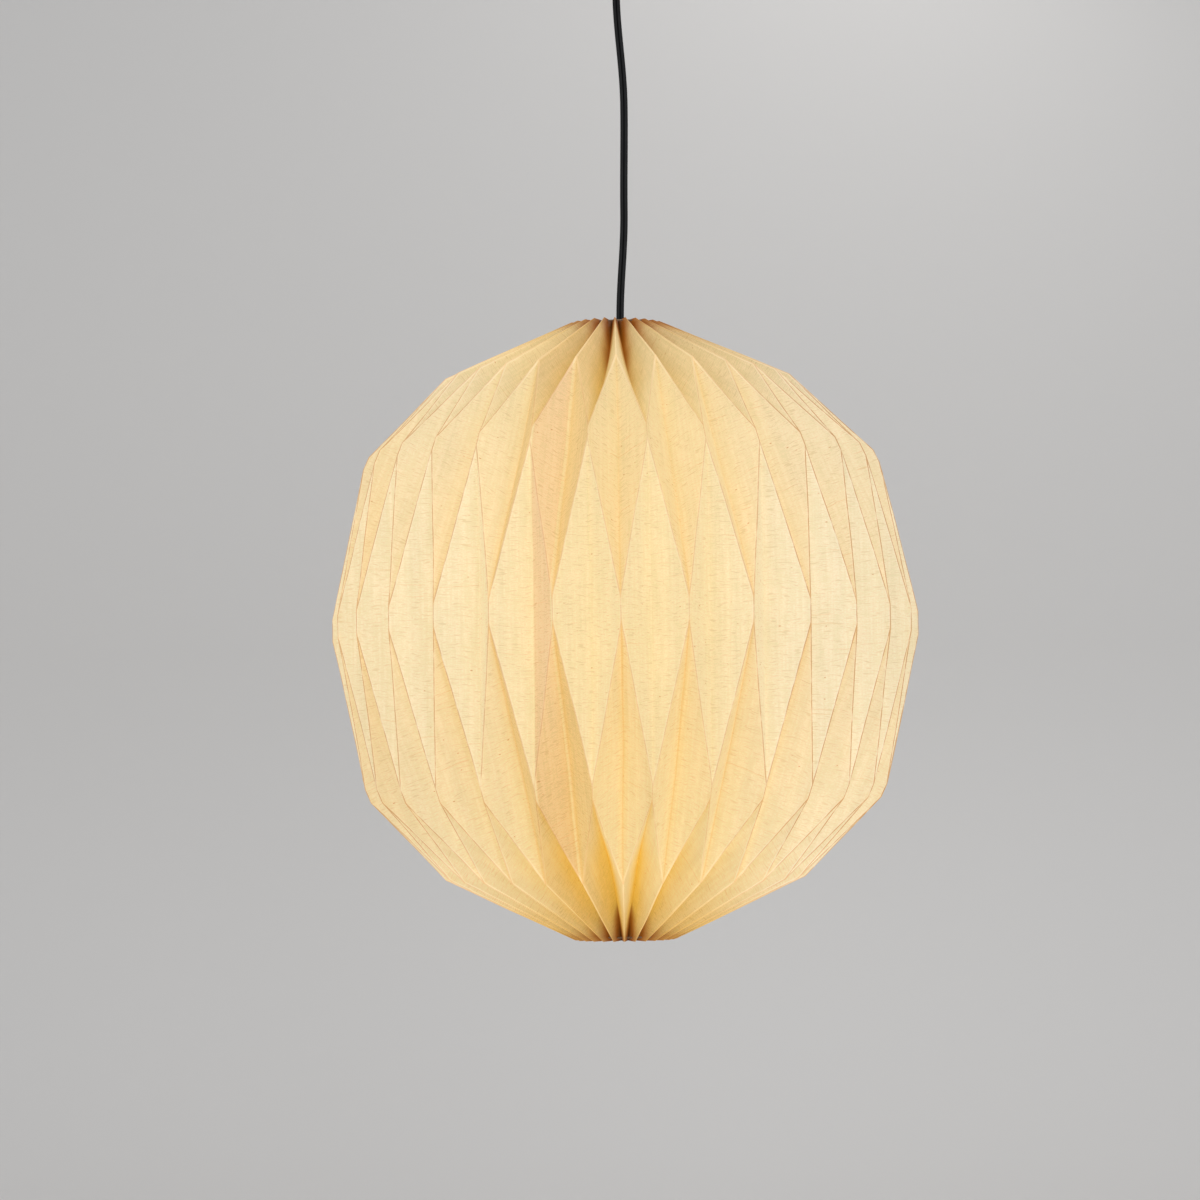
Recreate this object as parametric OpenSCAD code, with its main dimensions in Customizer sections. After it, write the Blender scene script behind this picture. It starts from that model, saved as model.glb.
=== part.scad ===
// Paper pendant lamp.
// The globe is one flat sheet, scored in long upright diamonds, closed into a tube
// with a glued lap and gathered at both ends on elastic ties. It hangs on a disc
// above the lampholder, on a flat twin flex from a ceiling cup.
// Millimetres, +Z up. The origin is on the ceiling, at the middle of the bracket.

/* [Sheet] */
// Number of pleats round the globe
pleats = 30; // [29:1:31]
// Flat width of the strip between two neighbouring fold lines
strip_w = 32.5; // [32:0.1:33]
// Radius of the mountain folds where the globe is widest
equator_r = 220; // [217:0.5:222]
// Thickness of the laminated paper
paper_t = 0.4; // [0.3:0.05:0.5]
// Length of the short ridge between two diamonds at the widest level
waist_ridge = 16.5; // [8:0.5:20]
// Flat height from the middle of the sheet to the shoulder folds
shoulder_level = 118.5; // [114:0.5:122]
// Length of the short ridge between two diamonds at the shoulder
shoulder_ridge = 10.5; // [5:0.5:13]
// Flat height from the middle of the sheet to the foot of the crown ridges
crown_level = 205.5; // [202:0.5:209]
// Flat height from the middle of the sheet to its edge
edge_level = 311.5; // [306:0.5:313]
// Share of a strip's width that the glued lap covers
lap_share = 0.84; // [0.5:0.02:0.9]

/* [Gathered ends] */
// Radius of the mouth that the furrows leave at each end
mouth_r = 21.6; // [20:0.1:24]
// How late the furrows turn up towards the edge
gather_ease = 2.5; // [2:0.1:3]
// Number of straight steps in a gathered furrow
gather_steps = 6; // [4:1:8]
// Diameter of the elastic tie
tie_d = 1.2; // [0.8:0.1:1.4]
// Radius of the ring that the tie makes
tie_r = 33; // [32:0.5:33.5]
// Depth of the tie's middle below the edge of the sheet
tie_inset = 1.8; // [1.6:0.1:2.5]

/* [Lampholder and bulb] */
// Radius of the disc that carries the globe
disc_r = 28; // [26:0.5:30]
// Thickness of the carrier disc
disc_t = 1.5; // [1:0.1:2]
// Radius of the lampholder
holder_r = 21; // [20.5:0.1:22]
// Wall of the lampholder's shells
shell_t = 2; // [1.6:0.1:2.2]
// Radius of the bulb's globe
bulb_r = 30; // [28:1:32]
// Length of the bulb from its tip contact to its round end
bulb_len = 108; // [104:1:112]

/* [Ceiling fitting] */
// Height from the middle of the globe to the ceiling
drop = 555; // [552:1:558]
// Radius of the ceiling cup
cup_r = 48; // [46:1:52]
// Height of the ceiling cup
cup_h = 50; // [48:1:52]
// Wall of the ceiling cup
cup_t = 1.6; // [1.4:0.1:2]
// Spacing of the two ceiling screws
screw_spacing = 60; // [50:1:64]
// Hole for a ceiling screw
screw_hole_d = 4.5; // [4:0.1:5]

/* [Cord] */
// Width of the flat twin flex
cord_w = 5.8; // [5.6:0.1:6]
// Thickness of the flat twin flex
cord_t = 3; // [2.8:0.1:3.2]

/* [Hidden] */

paper_colour = [0.96, 0.88, 0.72];
tie_colour = [0.93, 0.86, 0.74];
black_plastic = [0.04, 0.04, 0.045];
white_ceramic = [0.9, 0.89, 0.86];
brass_colour = [0.78, 0.6, 0.28];
steel_colour = [0.7, 0.71, 0.72];
opal_colour = [1, 0.96, 0.88];

globe_z = -drop;               // middle of the globe
fold_step = 180 / pleats;      // angle between two neighbouring fold lines
shade_turn = 5.25;             // turn of the globe round its cord
lap_strip = 2 * pleats - 19;   // the strip where the sheet's ends overlap
hole_play = 0.4;               // room round the tie in its punched holes
over = 0.5;                    // overrun of a cutter past the face it cuts
eps = 0.001;
fine = 96;

// The cord's route from the lampholder up to the terminal block
cord_route = [[0, 0, -346], [0, 0, -322], [4, 0, -235], [5, 0, -155],
              [0, 0, -62], [0, 0, -13.5]];
cord_step = 13;                // distance between two rings of the cord
cord_sides = 10;

stem_r = 5;                    // M10 stem of a cord grip
stem_play = 0.2;
bore_play = 0.4;               // a grip's slot is this much wider than the cord
grip_r = 7.5;
grip_foot_r = 9;               // across the corners of the grip's hexagon foot
grip_foot_h = 4;
cup_grip_h = 12;
holder_grip_h = 9;
nut_h = 3;

cap_h = 28;
cap_top_r = 10;
cap_round_h = 14;
neck_h = 7;                    // the skirt's neck inside the cap
neck_play = 0.15;
skirt_h = 33;
rib_w = 1;                     // the skirt's mouth flares by this much
seat_rise = 0.5;
seat_w = 2;
core_h = 8;
boss_w = 20;
boss_d = 12;
wire_gap = 7;                  // from the cord to each terminal screw
thread_r = 13.2;               // crest of the bulb's screw cap
thread_depth = 0.8;
thread_pitch = 3.6;
thread_turns = 6;
thread_samples = 8;            // straight steps in one turn's profile
thread_start = 4.5;            // from the bulb's tip to its first thread crest
tip_r = 4.8;
sleeve_play = 0.3;
sleeve_t = 0.4;
contact_t = 0.6;
contact_w = 6;
contact_drop = 3;
neck_turn = 50;                // the bulb's globe starts this far from its axis
neck_pull = 9;

bracket_w = 16;
bracket_t = 1.5;
tab_h = 14;
cup_fillet = 10;
cup_screw_z = -8;
small_screw_r = 1.5;
small_head_r = 2.75;
small_head_h = 1.8;
cup_screw_l = 8;
block_w = 22;
block_d = 16;
brass_screw_r = 1.25;
brass_head_r = 2;
brass_head_h = 1.2;
brass_screw_l = 5;

// ---- the folded sheet -------------------------------------------------------
// Every fold line lies in its own upright plane through the axis, so a point on
// it is [radius, height above the globe's middle]. Ridge lines and furrow lines
// alternate. A new point keeps its two flat distances: "along" its own line from
// a, and "across" the strip from b, which is on the line beside it.

function flat_gap(height) = norm([strip_w, height]);

function fold_point(a, along, b, across, side) =
    let (
        centre = [b[0] * cos(fold_step), b[1]],
        reach_sq = across * across - pow(b[0] * sin(fold_step), 2),
        gap = norm(centre - a),
        dir = (centre - a) / gap,
        foot = (along * along - reach_sq + gap * gap) / (2 * gap),
        rise = sqrt(along * along - foot * foot)
    )
    a + foot * dir + side * rise * [-dir[1], dir[0]];

half_w = equator_r * sin(fold_step);
shoulder_r = equator_r * cos(fold_step) - sqrt(strip_w * strip_w - half_w * half_w);
waist = [equator_r, waist_ridge / 2];
shoulder_low = [shoulder_r, shoulder_level];
crown = fold_point(waist, crown_level - waist_ridge / 2,
                   shoulder_low, flat_gap(crown_level - shoulder_level), 1);
shoulder_top = fold_point(shoulder_low, shoulder_ridge,
                          crown, flat_gap(crown_level - shoulder_level - shoulder_ridge), -1);
free_len = edge_level - shoulder_level - shoulder_ridge;
free_end = fold_point(shoulder_top, free_len, crown, flat_gap(edge_level - crown_level), 1);
rim = fold_point(crown, edge_level - crown_level, free_end, strip_w, -1);

// A furrow runs straight until it is beside the crown ridge's foot. From there the
// tie draws it up, so that the gathered edge is level with the ridges' ends.
straight_share = (crown_level - shoulder_level - shoulder_ridge) / free_len;
gather_foot = shoulder_top + (free_end - shoulder_top) * straight_share;
lift = [mouth_r, rim[1]] - free_end;

function gathered_ridge(t) = crown + (rim - crown) * t;
function gathered_furrow(t) =
    gather_foot + (free_end - gather_foot) * t + lift * pow(t, gather_ease);
function reversed(list) = [for (i = [len(list) - 1:-1:0]) list[i]];
function flipped(points) = [for (p = reversed(points)) [p[0], -p[1]]];

steps_down = [for (i = [gather_steps:-1:0]) i / gather_steps];
ridge_half = concat([for (t = steps_down) gathered_ridge(t)], [waist]);
furrow_half = concat([for (t = steps_down) gathered_furrow(t)], [shoulder_top, shoulder_low]);
outer_lines = [concat(ridge_half, flipped(ridge_half)),
               concat(furrow_half, flipped(furrow_half))];
ridge_n = len(outer_lines[0]);
furrow_n = len(outer_lines[1]);

// A rung joins a point of a ridge line to a point of the furrow line beside it.
// From one rung to the next only one end moves down, so the two bound a facet.
upper_rungs = concat(
    [for (i = [0:gather_steps - 1]) each [[i, i], [i + 1, i]]],
    [for (j = [0:2]) [gather_steps, gather_steps + j]],
    [[gather_steps + 1, gather_steps + 2]]);
middle_rung = [gather_steps + 2, gather_steps + 2];
lower_rungs = [for (rung = reversed(upper_rungs)) [ridge_n - 1, furrow_n - 1] - rung];
rungs = concat(upper_rungs, [middle_rung], lower_rungs);
rung_n = len(rungs);

// A facet lists three [line, point] pairs, clockwise seen from outside, on a strip
// with its ridge (line 0) on the left and its furrow (line 1) on the right.
facets = [for (k = [0:rung_n - 2])
    let (a = rungs[k], b = rungs[k + 1])
    [[0, a[0]], [1, a[1]], b[0] > a[0] ? [0, b[0]] : [1, b[1]]]];

function unit(v) = v / norm(v);
function total(list) = [for (v = list) 1] * list;
function on_line(point, line) =
    [point[0] * cos(line * fold_step), point[0] * sin(line * fold_step), point[1]];
normals = [for (f = facets)
    let (p = [for (ref = f) on_line(outer_lines[ref[0]][ref[1]], ref[0])])
    unit(cross(p[2] - p[0], p[1] - p[0]))];

// The inside of the paper lies square to the facets that meet at a point. At the
// sheet's edges it is level with the outside, so the cut edge is flat.
function meets(facet, line, i) = len([for (ref = facet) if (ref == [line, i]) ref]) > 0;
function inner_point(line, i) =
    let (
        near = [for (k = [0:len(facets) - 1]) if (meets(facets[k], line, i)) normals[k]],
        sum = total(near),
        push = [sum * on_line([1, 0], line), sum[2]],
        at_edge = i == 0 || i == len(outer_lines[line]) - 1,
        dir = at_edge ? [1, 0] : unit(push)
    )
    outer_lines[line][i] - dir * paper_t * len(near) / (push * dir);

inner_lines = [for (line = [0, 1])
    [for (i = [0:len(outer_lines[line]) - 1]) inner_point(line, i)]];

// The tie passes through a square hole in each wall, close to the edge. The hole's
// corners are found on the wall from their radius and height.
tie_z = rim[1] - tie_inset;
hole_r = tie_d / 2 + hole_play;
hole_corners = [[1, 1], [-1, 1], [-1, -1], [1, -1]] * hole_r;

function at_height(p, q, z) = p + (q - p) * (p[2] - z) / (p[2] - q[2]);
function wall_point(lines, i, j, radius, z) =
    let (
        left = at_height(on_line(lines[0][i], 0), on_line(lines[0][i + 1], 0), z),
        right = at_height(on_line(lines[1][j], 1), on_line(lines[1][j + 1], 1), z),
        left_r = norm([left[0], left[1]]),
        right_r = norm([right[0], right[1]])
    )
    left + (right - left) * (left_r - radius) / (left_r - right_r);
function hole_points(lines, end) =
    [for (c = hole_corners)
        end == 0 ? wall_point(lines, 0, 0, tie_r + c[0], tie_z + c[1])
            : wall_point(lines, ridge_n - 2, furrow_n - 2, tie_r + c[0], c[1] - tie_z)];

// The lap is a second thickness inside one strip. It stops short of the strip's two
// folds, and of the rows with the tie's holes.
lap_first = 3;
lap_last = rung_n - 4;
function lap_points(r) =
    let (
        a = on_line(inner_lines[0][rungs[r][0]], 0),
        b = on_line(inner_lines[1][rungs[r][1]], 1),
        margin = (b - a) * (1 - lap_share) / 2,
        depth = paper_t * unit(normals[r - 1] + normals[r])
    )
    [a + margin, a + margin - depth, b - margin - depth, b - margin];

// Every other strip is the mirror image of the first one.
function placed(p, k) =
    let (side = k % 2 == 0 ? 1 : -1, turn = (k % 2 == 0 ? k : k + 1) * fold_step)
    [p[0] * cos(turn) - side * p[1] * sin(turn), p[0] * sin(turn) + side * p[1] * cos(turn), p[2]];

pair_n = ridge_n + furrow_n;
layer_n = pleats * pair_n;
hole_start = 2 * layer_n;
lap_start = hole_start + 32 * pleats;
sheet_points = concat(
    [for (lines = [outer_lines, inner_lines], pair = [0:pleats - 1], line = [0, 1])
        each [for (p = lines[line]) on_line(p, 2 * pair + line)]],
    [for (lines = [outer_lines, inner_lines], k = [0:2 * pleats - 1], end = [0, 1])
        each [for (p = hole_points(lines, end)) placed(p, k)]],
    [for (r = [lap_first:lap_last]) each [for (p = lap_points(r)) placed(p, lap_strip)]]);

// Places in sheet_points of the points on a strip's two lines, holes and lap
function line_id(layer, k, line, i) =
    let (n = (k % 2 == 0 ? k + line : k + 1 - line) % (2 * pleats))
    layer * layer_n + floor(n / 2) * pair_n + (n % 2) * ridge_n + i;
function hole_id(layer, k, end, j) =
    hole_start + ((layer * 2 * pleats + k) * 2 + end) * 4 + j % 4;
function lap_id(r, column) = lap_start + 4 * (r - lap_first) + column;

function facing(outward, list) = outward ? list : reversed(list);
function split(quad) = [[quad[0], quad[1], quad[2]], [quad[0], quad[2], quad[3]]];

// Plain facets between the two holed rows, on either face of the paper
function plain_faces(layer, k) =
    [for (f = [2:len(facets) - 3])
        facing((k + layer) % 2 == 0, [for (ref = facets[f]) line_id(layer, k, ref[0], ref[1])])];

// A holed row: four quads round the hole
function holed_faces(layer, k, end) =
    let (
        i = end == 0 ? 0 : ridge_n - 2,
        j = end == 0 ? 0 : furrow_n - 2,
        frame = [line_id(layer, k, 0, i), line_id(layer, k, 1, j),
                 line_id(layer, k, 1, j + 1), line_id(layer, k, 0, i + 1)]
    )
    [for (c = [0:3], face = split([frame[c], frame[(c + 1) % 4],
                                   hole_id(layer, k, end, c + 1), hole_id(layer, k, end, c)]))
        facing((k + layer) % 2 == 0, face)];
function hole_wall_faces(k, end) =
    [for (c = [0:3], face = split([hole_id(0, k, end, c), hole_id(0, k, end, c + 1),
                                   hole_id(1, k, end, c + 1), hole_id(1, k, end, c)]))
        facing(k % 2 == 0, face)];

// The inside of the strip with the lap, row by row from its ridge to its furrow
function flat_row(k, r) =
    let (a = line_id(1, k, 0, rungs[r][0]), b = line_id(1, k, 1, rungs[r][1]))
    r < lap_first || r > lap_last ? [a, b] : [a, lap_id(r, 0), lap_id(r, 3), b];
function raised_row(k, r) =
    let (flat = flat_row(k, r))
    [flat[0], flat[1], lap_id(r, 1), lap_id(r, 2), flat[2], flat[3]];
function row_face(a, b) =
    [for (i = [0:len(a) - 1]) a[i], for (i = [len(b) - 1:-1:0]) if (len(search(b[i], a)) == 0) b[i]];
function lap_faces(k) = concat(
    [for (r = [lap_first - 1, lap_last])
        facing(k % 2 != 0, row_face(flat_row(k, r), flat_row(k, r + 1)))],
    [facing(k % 2 == 0, [for (c = [0:3]) lap_id(lap_first, c)]),
     facing(k % 2 != 0, [for (c = [0:3]) lap_id(lap_last, c)])],
    [for (r = [lap_first:lap_last - 1], c = [0:4])
        let (a = raised_row(k, r), b = raised_row(k, r + 1))
        each a[c] == b[c] ? [facing(k % 2 != 0, [a[c], a[c + 1], b[c + 1]])]
            : a[c + 1] == b[c + 1] ? [facing(k % 2 != 0, [a[c], a[c + 1], b[c]])]
            : [for (face = split([a[c], a[c + 1], b[c + 1], b[c]])) facing(k % 2 != 0, face)]]);

// The cut edge of the sheet at the top (row 0) and at the bottom (last row)
function edge_faces(k, r) =
    let (quad = [line_id(0, k, 1, rungs[r][1]), line_id(0, k, 0, rungs[r][0]),
                 line_id(1, k, 0, rungs[r][0]), line_id(1, k, 1, rungs[r][1])])
    [for (face = split(quad)) facing((r == 0) == (k % 2 == 0), face)];

sheet_faces = [for (k = [0:2 * pleats - 1])
    each concat(
        plain_faces(0, k),
        k == lap_strip ? lap_faces(k) : plain_faces(1, k),
        edge_faces(k, 0),
        edge_faces(k, rung_n - 1),
        [for (end = [0, 1]) each concat(holed_faces(0, k, end), holed_faces(1, k, end),
                                        hole_wall_faces(k, end))])];

module shade() {
    color(paper_colour)
        translate([0, 0, globe_z])
            rotate([0, 0, shade_turn])
                polyhedron(points = sheet_points, faces = sheet_faces, convexity = 20);
}

// ---- the gathered ends and the disc -----------------------------------------

module tie() {
    color(tie_colour)
        rotate_extrude($fn = 120)
            translate([tie_r, 0])
                circle(d = tie_d, $fn = 16);
}

module top_tie() {
    translate([0, 0, globe_z + tie_z])
        tie();
}

module bottom_tie() {
    translate([0, 0, globe_z - tie_z])
        tie();
}

// Height on the inside of a furrow at which it is as wide as the carrier disc
seat_heights = [for (i = [0:gather_steps - 1])
    let (p = inner_lines[1][i], q = inner_lines[1][i + 1])
    if (p[0] <= disc_r && q[0] > disc_r) p[1] + (q[1] - p[1]) * (disc_r - p[0]) / (q[0] - p[0])];
disc_top = globe_z + seat_heights[0];
disc_z = disc_top - disc_t;

module carrier_disc() {
    color(steel_colour)
        translate([0, 0, disc_z])
            difference() {
                cylinder(r = disc_r, h = disc_t, $fn = 180);
                translate([0, 0, -over])
                    cylinder(r = stem_r + stem_play, h = disc_t + 2 * over, $fn = fine);
            }
}

// ---- cord grips -------------------------------------------------------------

module cord_slot(height) {
    half = (cord_w - cord_t) / 2;
    translate([0, 0, -over])
        linear_extrude(height + 2 * over) {
            square([2 * half, cord_t + bore_play], center = true);
            for (side = [-1, 1])
                translate([side * half, 0])
                    circle(d = cord_t + bore_play, $fn = 32);
        }
}

// A grip stands on its hexagon foot, with its stem below
module cord_grip(height, stem_l) {
    body_top_r = grip_r - 1.5;
    difference() {
        union() {
            translate([0, 0, -stem_l])
                cylinder(r = stem_r, h = stem_l + over, $fn = fine);
            cylinder(r = grip_foot_r, h = grip_foot_h, $fn = 6);
            rotate_extrude($fn = fine)
                polygon([[0, 0], [grip_r, 0], [grip_r, height - 3], [body_top_r, height], [0, height]]);
        }
        translate([0, 0, -stem_l])
            cord_slot(stem_l + height);
    }
}

module holder_grip() {
    color(black_plastic)
        translate([0, 0, disc_top])
            cord_grip(holder_grip_h, disc_t + shell_t + 4);
}

module cup_grip() {
    color(black_plastic)
        translate([0, 0, -cup_h])
            rotate([180, 0, 0])
                cord_grip(cup_grip_h, cup_t + nut_h + 2);
}

module grip_nut() {
    color(steel_colour)
        translate([0, 0, cup_t - cup_h])
            difference() {
                cylinder(r = grip_foot_r, h = nut_h, $fn = 6);
                translate([0, 0, -over])
                    cylinder(r = stem_r, h = nut_h + 2 * over, $fn = fine);
            }
}

// ---- lampholder -------------------------------------------------------------

skirt_top = disc_z - cap_h;
core_z = skirt_top + seat_rise;
core_top = core_z + core_h;
boss_top = cord_route[0][2];
bulb_tip = core_z - contact_drop;
neck_r = holder_r - shell_t - neck_play;

// A quarter of an ellipse, from its top round to its side
function quarter(cr, cz, rr, rz) = [for (a = [0:10:90]) [cr + rr * sin(a), cz + rz * cos(a)]];
function cap_curve(wall) =
    quarter(cap_top_r, -cap_round_h, holder_r - cap_top_r - wall, cap_round_h - wall);

module holder_cap() {
    color(black_plastic)
        translate([0, 0, disc_z])
            rotate_extrude($fn = fine)
                polygon(concat(
                    [[stem_r + stem_play, 0]],
                    cap_curve(0),
                    [[holder_r, -cap_h], [holder_r - shell_t, -cap_h]],
                    reversed(cap_curve(shell_t)),
                    [[stem_r + stem_play, -shell_t]]));
}

// The skirt screws into the cap with its neck. A ring inside it carries the core.
module holder_skirt() {
    color(black_plastic)
        translate([0, 0, skirt_top])
            rotate_extrude($fn = fine)
                polygon([[neck_r, neck_h], [neck_r, 0], [holder_r, 0],
                         [holder_r, rib_w - skirt_h], [holder_r + rib_w, -skirt_h],
                         [holder_r - shell_t, -skirt_h], [holder_r - shell_t, -shell_t],
                         [neck_r - shell_t - seat_w, -shell_t],
                         [neck_r - shell_t - seat_w, seat_rise],
                         [neck_r - shell_t, seat_rise], [neck_r - shell_t, neck_h]]);
}

// A pan-headed screw, its head on z = 0 and its shank below
module screw(head_r, head_h, shank_r, length) {
    slot_w = head_r / 4;
    difference() {
        rotate_extrude($fn = 48)
            polygon(concat([[0, -length], [shank_r, -length], [shank_r, 0], [head_r, 0]],
                           reversed(quarter(0, head_h / 3, head_r, head_h * 2 / 3))));
        translate([-head_r, -slot_w / 2, head_h / 2])
            cube([2 * head_r, slot_w, head_h]);
    }
}

module holder_core() {
    color(white_ceramic)
        difference() {
            union() {
                translate([0, 0, core_z])
                    cylinder(r = neck_r - shell_t - neck_play, h = core_h, $fn = fine);
                translate([-boss_w / 2, -boss_d / 2, core_top - over])
                    cube([boss_w, boss_d, boss_top - core_top + over]);
            }
            for (side = [-1, 1])
                translate([side * wire_gap, 0, boss_top - brass_screw_l])
                    cylinder(r = brass_screw_r, h = brass_screw_l + over, $fn = 48);
        }
}

module terminal_screws() {
    color(brass_colour)
        for (side = [-1, 1])
            translate([side * wire_gap, 0, boss_top])
                screw(brass_head_r, brass_head_h, brass_screw_r, brass_screw_l);
}

// A leaf spring bent back under itself, from the core to the bulb's tip
module centre_contact() {
    color(brass_colour)
        translate([0, contact_w / 2, core_z])
            rotate([90, 0, 0])
                linear_extrude(contact_w)
                    polygon([[-5, 0], [5, 0], [5, -contact_drop], [-3, -contact_drop],
                             [-3, contact_t - contact_drop], [5 - contact_t, contact_t - contact_drop],
                             [5 - contact_t, -contact_t], [-5, -contact_t]]);
}

// The rolled thread, drawn as rings, from its upper end down
function thread_wave(wider) =
    [for (i = [0:thread_turns * thread_samples])
        [thread_r + wider - thread_depth * (1 - cos(360 * i / thread_samples)) / 2,
         -thread_start - i * thread_pitch / thread_samples]];
thread_end = thread_start + thread_turns * thread_pitch;

module screw_sleeve() {
    inside = thread_r + sleeve_play;
    color(brass_colour)
        translate([0, 0, bulb_tip])
            rotate_extrude($fn = fine)
                polygon(concat(
                    [[inside, contact_drop]], thread_wave(sleeve_play),
                    reversed(thread_wave(sleeve_play + sleeve_t)),
                    [[inside + sleeve_t, contact_drop]]));
}

// ---- bulb -------------------------------------------------------------------
// Heights are measured down from the tip contact.

function bezier(p, t) = pow(1 - t, 3) * p[0] + 3 * t * pow(1 - t, 2) * p[1]
    + 3 * t * t * (1 - t) * p[2] + pow(t, 3) * p[3];
function on_globe(a) = [bulb_r * sin(a), bulb_r * cos(a) - (bulb_len - bulb_r)];
neck_curve = [
    [thread_r, -thread_end - 1],
    [thread_r, -thread_end - 1 - neck_pull],
    on_globe(neck_turn) - neck_pull * [cos(neck_turn), -sin(neck_turn)],
    on_globe(neck_turn)
];

module bulb() {
    color(opal_colour)
        translate([0, 0, bulb_tip])
            rotate_extrude($fn = fine)
                polygon(concat(
                    [[0, 0], [tip_r - 1, 0], [tip_r, -0.8], [thread_r - 1.6, -thread_start + 0.6]],
                    thread_wave(0),
                    [for (i = [0:10]) bezier(neck_curve, i / 10)],
                    [for (a = [neck_turn + 5:5:175]) on_globe(a)],
                    [[0, -bulb_len]]));
}

// ---- cord -------------------------------------------------------------------
// The cord leaves each of its points upright and eases across to the next one.

route_low = cord_route[0][2];
route_high = cord_route[len(cord_route) - 1][2];
cord_rings = ceil((route_high - route_low) / cord_step);

function ease(t) = (1 - cos(180 * t)) / 2;
function cord_at(z) =
    let (
        above = [for (i = [1:len(cord_route) - 1]) if (cord_route[i][2] >= z - eps) i][0],
        a = cord_route[above - 1],
        b = cord_route[above],
        share = ease((z - a[2]) / (b[2] - a[2]))
    )
    [a[0] + (b[0] - a[0]) * share, a[1] + (b[1] - a[1]) * share, z];
// Two round cores side by side, as one outline
function twin_outline(a) =
    [sign(cos(a)) * (cord_w - cord_t) / 2 + cos(a) * cord_t / 2, sin(a) * cord_t / 2, 0];

module cord() {
    points = [for (i = [0:cord_rings], s = [0:cord_sides - 1])
        cord_at(route_low + (route_high - route_low) * i / cord_rings)
            + twin_outline(360 * s / cord_sides)];
    sides = [for (i = [0:cord_rings - 1], s = [0:cord_sides - 1])
        let (a = i * cord_sides, b = a + cord_sides, next = (s + 1) % cord_sides)
        [a + s, b + s, b + next, a + next]];
    low_end = [for (s = [0:cord_sides - 1]) s];
    high_end = [for (s = low_end) cord_rings * cord_sides + cord_sides - 1 - s];
    color(black_plastic)
        polyhedron(points = points, faces = concat(sides, [low_end, high_end]));
}

// ---- ceiling fitting --------------------------------------------------------

cup_in = cup_r - cup_t;
bracket_half = sqrt(cup_in * cup_in - bracket_w * bracket_w / 4) - 0.1;
block_low = route_high;
block_top = -bracket_t;

module crosswise(radius, reach) {
    rotate([0, 90, 0])
        cylinder(r = radius, h = 2 * reach, center = true, $fn = 48);
}

module ceiling_cup() {
    corner_r = cup_r - cup_fillet;
    corner_z = cup_fillet - cup_h;
    color(black_plastic)
        difference() {
            rotate_extrude($fn = 160)
                polygon(concat(
                    [[stem_r + stem_play, -cup_h]],
                    quarter(corner_r, corner_z, cup_fillet, -cup_fillet),
                    [[cup_r, 0], [cup_in, 0]],
                    reversed(quarter(corner_r, corner_z, cup_fillet - cup_t, cup_t - cup_fillet)),
                    [[stem_r + stem_play, cup_t - cup_h]]));
            translate([0, 0, cup_screw_z])
                crosswise(small_screw_r + stem_play, cup_r + over);
        }
}

module ceiling_bracket() {
    color(steel_colour)
        difference() {
            union() {
                translate([-bracket_half, -bracket_w / 2, -bracket_t])
                    cube([2 * bracket_half, bracket_w, bracket_t]);
                for (side = [0, 1])
                    mirror([side, 0, 0])
                        translate([bracket_half - bracket_t, -bracket_w / 2, -tab_h])
                            cube([bracket_t, bracket_w, tab_h]);
            }
            for (side = [-1, 1])
                translate([side * screw_spacing / 2, 0, -bracket_t - over])
                    cylinder(d = screw_hole_d, h = bracket_t + 2 * over, $fn = 48);
            translate([0, 0, cup_screw_z])
                crosswise(small_screw_r, cup_r);
        }
}

module cup_screws() {
    color(steel_colour)
        for (side = [-1, 1])
            translate([side * cup_r, 0, cup_screw_z])
                rotate([0, side * 90, 0])
                    screw(small_head_r, small_head_h, small_screw_r, cup_screw_l);
}

module at_block_screws() {
    for (x = [-1, 1], z = [-1, 1])
        translate([x * block_w / 4, -block_d / 2, (block_low + block_top) / 2 + z * 3])
            rotate([90, 0, 0])
                children();
}

module terminal_block() {
    color(white_ceramic)
        difference() {
            translate([-block_w / 2, -block_d / 2, block_low])
                cube([block_w, block_d, block_top - block_low]);
            at_block_screws()
                translate([0, 0, -brass_screw_l])
                    cylinder(r = brass_screw_r, h = brass_screw_l + over, $fn = 48);
        }
}

module block_screws() {
    color(brass_colour)
        at_block_screws()
            screw(brass_head_r, brass_head_h, brass_screw_r, brass_screw_l);
}

shade();
top_tie();
bottom_tie();
carrier_disc();
holder_grip();
holder_cap();
holder_skirt();
holder_core();
terminal_screws();
centre_contact();
screw_sleeve();
bulb();
cord();
cup_grip();
grip_nut();
ceiling_cup();
ceiling_bracket();
cup_screws();
terminal_block();
block_screws();
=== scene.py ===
"""Paper pendant lamp: a lit globe of folded paper on a black twin cord."""
import math

import bmesh
import bpy
from mathutils import Matrix, Vector, noise


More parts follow.
